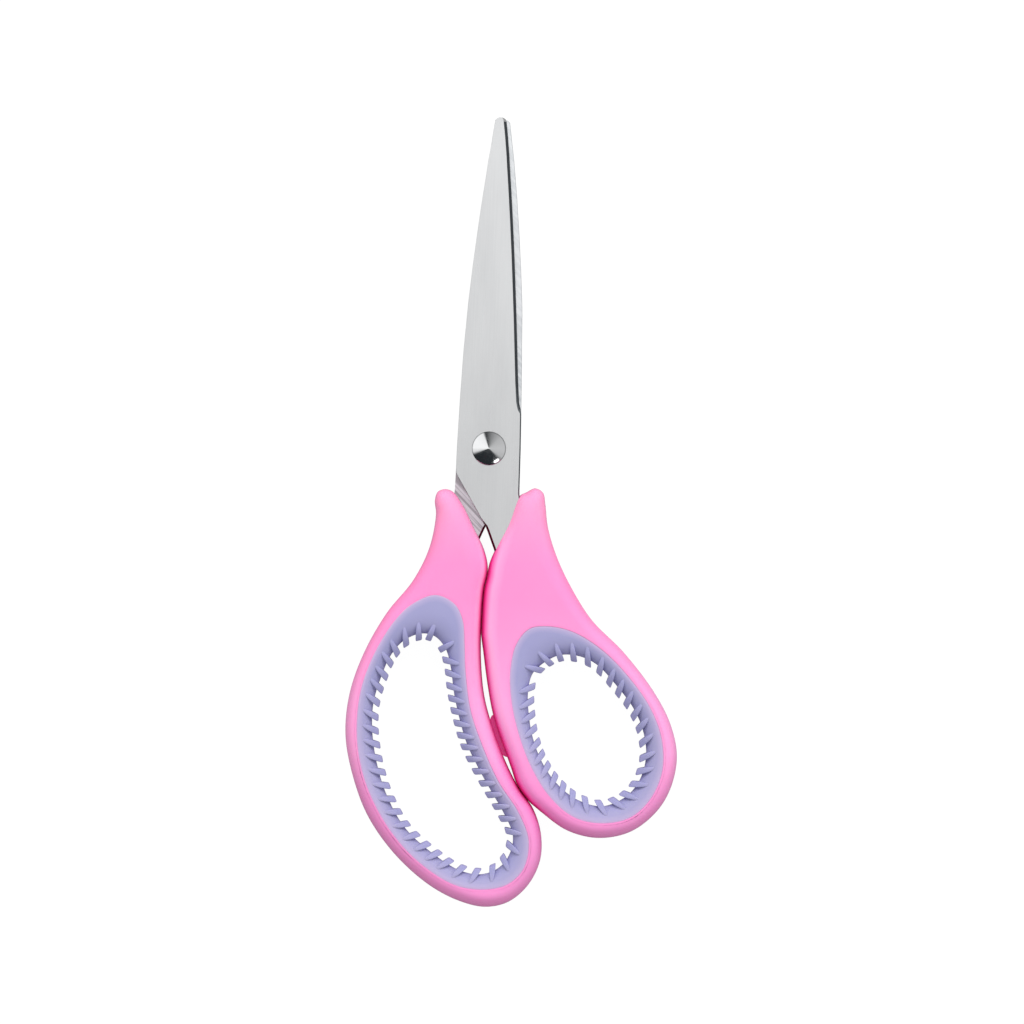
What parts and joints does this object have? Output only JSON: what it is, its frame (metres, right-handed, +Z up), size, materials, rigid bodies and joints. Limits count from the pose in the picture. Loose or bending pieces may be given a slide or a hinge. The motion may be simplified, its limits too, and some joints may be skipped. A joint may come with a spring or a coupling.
{
  "type": "craft scissors",
  "caption": "Long-bladed craft scissors with straight ground edges, one domed rivet, and two moulded bows, each lined with soft slanted fins.",
  "frame": {"origin": "middle of the footprint, on the surface that the closed pair lies on", "axes": "+Y from the bows towards the blade tips, +Z up from the face the pair lies on, +X to the thumb bow's side"},
  "size_m": [0.0882, 0.2099, 0.012],
  "materials": {
    "blade_steel": "satin stainless steel, lightly brushed along the blade",
    "rivet_steel": "mirror-polished steel",
    "washer_steel": "bright steel",
    "handle_plastic": "pink moulded plastic with a soft sheen",
    "grip_rubber": "satin lavender thermoplastic rubber"
  },
  "bodies": {
    "finger_half": {"rear_blade": "blade_steel", "finger_handle": "handle_plastic", "finger_grip": "grip_rubber", "pivot_rivet": "rivet_steel", "rivet_washer": "washer_steel"},
    "thumb_half": {"front_blade": "blade_steel", "thumb_handle": "handle_plastic", "thumb_grip": "grip_rubber"}
  },
  "joints": [
    {"name": "pivot", "type": "hinge", "parent": "finger_half", "child": "thumb_half", "pos_m": [-0.006, 0.0169, 0.006], "axis": [0, 0, 1], "range_deg": [0, 96]}
  ]
}
